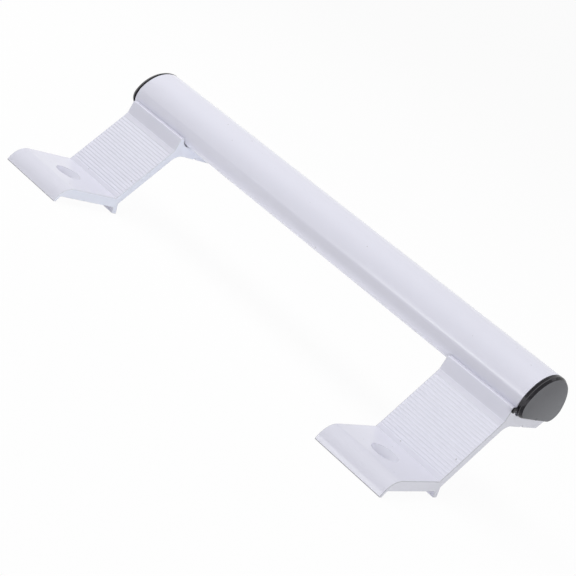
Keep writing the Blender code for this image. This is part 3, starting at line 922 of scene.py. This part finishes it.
def gate_mesh(side, front):
    """The small raised spot left where the cap was moulded, near the middle of the face's straight edge."""
    outward = SIDES[side]
    rings = [at_end(circle(GATE_RADIUS, GATE_SEGMENTS), side, outward * (front - GATE_HEIGHT))]
    for step in range(EDGE_SEGMENTS + 1):
        angle = math.pi / 2 * step / (EDGE_SEGMENTS + 1)
        height = outward * (front + GATE_HEIGHT * math.sin(angle))
        rings.append(at_end(circle(GATE_RADIUS * math.cos(angle), GATE_SEGMENTS), side, height))
    return loft("gate", rings)


def cap_material(x, front):
    """Which of a cap's finishes a face has, by its distance from the bar's end: its face, the painted
    highlight line where the rim's side meets the bevel, or the rim.
    """
    if x > front - CAP_EDGE_ROUND / 2:
        return FACE
    # the painted highlight line sits on the edge between the rim's side and its bevel
    return HIGHLIGHT_EDGE if abs(x - front + CAP_BEVEL_DEPTH) < CAP_HIGHLIGHT_HALF else RIM


def make_cap(side):
    outward = SIDES[side]
    place = Vector((outward * BAR_END_X, BAR_Y, BAR_AXIS_Z))
    back = CONTACT_GAP + BAR_OVERHANG[side]
    front = CAP_FRONT + CAP_PROUD[side]
    rings = []
    for inset, x in plate_steps(back, front):
        outline = bar_outline(inset, inset - CAP_EDGE_DROP)
        rings.append(at_end(turned(outline, -CAP_EDGE_TILT), side, outward * x))
    rings += [at_end(bar_outline(inset, floor), side, outward * x) for inset, floor, x in plug_steps(back)]
    cap = add_object(f"{side}_cap_cover", loft(f"{side}_cap_cover", rings), place)
    gate = gate_mesh(side, front - GATE_SINK + END_SLANT[side] * GATE_DROP)
    added = [add_object("gate", gate, place - Vector((0, 0, GATE_DROP)))]
    if side == CAP_EAR_SIDE:
        added.append(add_object("ear", ear_mesh(outward), place))
    combine(cap, "UNION", added)
    smooth(cap)
    for material in (cap_rim, cap_face, cap_edge_highlight):
        cap.data.materials.append(material)
    for face in cap.data.polygons:
        x = outward * face.center.x + END_SLANT[side] * face.center.z
        face.material_index = cap_material(x, front)
    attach(cap, f"{side}_cap")
    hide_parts(f"{side}_end_cap")


def hexagon(width, segments):
    """A hexagon across flats of the given width, with as many points as a circle of that many segments."""
    ring = []
    for step in range(segments):
        angle = 2 * math.pi * step / segments
        from_flat = (angle + math.pi / 6) % (math.pi / 3) - math.pi / 6
        radius = width / 2 / math.cos(from_flat)
        ring.append((radius * math.cos(angle), radius * math.sin(angle)))
    return ring


def threaded_ring(z, share):
    """A turn of the shank's thread: a ridge that climbs one pitch for each time round."""
    ring = []
    for step in range(ROUND_SEGMENTS):
        turn = step / ROUND_SEGMENTS
        phase = (z / THREAD_PITCH - turn) % 1
        depth = THREAD_DEPTH * share * min(1, abs(2 * phase - 1) * THREAD_STEEPNESS)
        radius = SCREW_RADIUS - depth
        ring.append((radius * math.cos(2 * math.pi * turn), radius * math.sin(2 * math.pi * turn), z))
    return ring


def screw_mesh():
    """A countersunk socket screw about its own axis, from its face at 0 up to its tip."""
    socket = [
        (SOCKET_POINT_SHARE, SCREW_SOCKET_DEPTH + SOCKET_POINT_DEPTH),
        (SOCKET_FLOOR_SHARE, SCREW_SOCKET_DEPTH),
        (1.0, SCREW_SOCKET_DEPTH - SCREW_SOCKET_CHAMFER),
        (1.0, SCREW_SOCKET_CHAMFER),
    ]
    head = [
        (SCREW_SOCKET_WIDTH / 2 * SOCKET_MOUTH_SHARE, 0),
        (SCREW_HEAD_RADIUS - SCREW_HEAD_EDGE, 0),
        (SCREW_HEAD_RADIUS, SCREW_HEAD_EDGE),
        (SCREW_HEAD_RADIUS, SCREW_HEAD_BAND),
        (SCREW_RADIUS, SCREW_HEAD_RADIUS - SCREW_RADIUS + SCREW_HEAD_EDGE),
    ]
    rings = [at_z(hexagon(SCREW_SOCKET_WIDTH * share, ROUND_SEGMENTS), z) for share, z in socket]
    rings += [at_z(circle(radius, ROUND_SEGMENTS), z) for radius, z in head]
    end = SCREW_LENGTH - SCREW_TIP_CHAMFER
    count = math.ceil((end - THREAD_START) / THREAD_PITCH * THREAD_STEPS)
    for step in range(count + 1):
        z = THREAD_START + (end - THREAD_START) * step / count
        rings.append(threaded_ring(z, min(1, step / THREAD_STEPS)))
    rings.append(at_z(circle(SCREW_RADIUS - SCREW_TIP_CHAMFER, ROUND_SEGMENTS), SCREW_LENGTH))
    return loft("clamp_screw", rings)


def make_screw(side, place):
    screw = add_object(f"{side}_{place}_screw", screw_mesh(), screw_position(side, place))
    smooth(screw)
    screw.data.materials.append(zinc)
    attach(screw, "handle")
    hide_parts(f"{side}_{place}_clamp_screw")


def finish_nut_plate(side):
    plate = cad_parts[f"{side}_nut_plate"]
    plate.data.materials.clear()
    plate.data.materials.append(zinc)


def seen_directly(tree):
    """1 for what the camera sees, by itself or in a mirror or through glass, and 0 for light on surfaces."""
    path = node(tree, "ShaderNodeLightPath").outputs
    seen = calculated(tree, "MAXIMUM", path["Is Camera Ray"], path["Is Glossy Ray"])
    return calculated(tree, "MAXIMUM", seen, path["Is Transmission Ray"])


def make_floor():
    """A pale light table: it shows nearly white, keeps a light shadow and lets the lamp under it through."""
    half = FLOOR_HALF
    corners = [(-half, -half), (half, -half), (half, half), (-half, half)]
    mesh = bpy.data.meshes.new("floor")
    mesh.from_pydata(at_z(corners, -FLOOR_DROP), [], [(0, 1, 2, 3)])
    floor = add_object("floor", mesh)
    floor.visible_shadow = False
    material, tree, shader, place = new_material("pale_floor")
    grain = noise(tree, place, FLOOR_GRAIN_SCALE, FLOOR_GRAIN_DETAIL)
    tree.links.new(tinted(tree, grain, FLOOR_COLOUR, FLOOR_GRAIN), shader.inputs["Base Color"])
    shader.inputs["Roughness"].default_value = 1.0
    shader.inputs["Specular IOR Level"].default_value = 0.0
    glow = node(tree, "ShaderNodeEmission", {"Color": (1, 1, 1, 1), "Strength": 1.0})
    share = calculated(tree, "MULTIPLY", seen_directly(tree), FLOOR_SHOWN)
    mix = node(tree, "ShaderNodeMixShader", {0: share, 1: shader.outputs[0], 2: glow.outputs[0]})
    tree.links.new(mix.outputs[0], tree.nodes["Material Output"].inputs["Surface"])
    material.cycles.emission_sampling = "NONE"
    mesh.materials.append(material)


def make_world():
    world = bpy.data.worlds.new("studio")
    bpy.context.scene.world = world
    world.use_nodes = True
    tree = world.node_tree
    background = tree.nodes["Background"]
    background.inputs["Color"].default_value = (1, 1, 1, 1)
    strength = remap(tree, seen_directly(tree), 0.0, 1.0, WORLD_LIGHT, 1.0)
    tree.links.new(strength, background.inputs["Strength"])
    world.cycles.sampling_method = "NONE"


def make_lamp(name, place, width, height, power, mirrored):
    """A soft lamp that either lights surfaces or is only mirrored by glossy ones."""
    data = bpy.data.lights.new(name, "AREA")
    data.shape = "RECTANGLE"
    data.size = width
    data.size_y = height
    data.energy = power
    lamp = add_object(name, data, place)
    lamp.rotation_euler = (LAMP_TARGET - Vector(place)).to_track_quat("-Z", "Y").to_euler()
    lamp.visible_glossy = mirrored
    lamp.visible_diffuse = not mirrored


def make_camera():
    data = bpy.data.cameras.new("camera")
    data.lens = CAMERA_LENS
    data.clip_start = CAMERA_NEAR
    camera = add_object("camera", data, CAMERA_PLACE)
    looking = (CAMERA_TARGET - CAMERA_PLACE).to_track_quat("-Z", "Y")
    camera.rotation_euler = (looking @ Quaternion((0, 0, 1), CAMERA_ROLL)).to_euler()
    bpy.context.scene.camera = camera


make_bar()
for side_name in SIDES:
    make_bracket(side_name)
    make_cap(side_name)
    finish_nut_plate(side_name)
    for screw_place in SCREW_PLACES:
        make_screw(side_name, screw_place)
make_floor()
make_world()
for lamp_values in LAMPS:
    make_lamp(*lamp_values)
make_camera()
bpy.context.scene.view_settings.view_transform = "Standard"
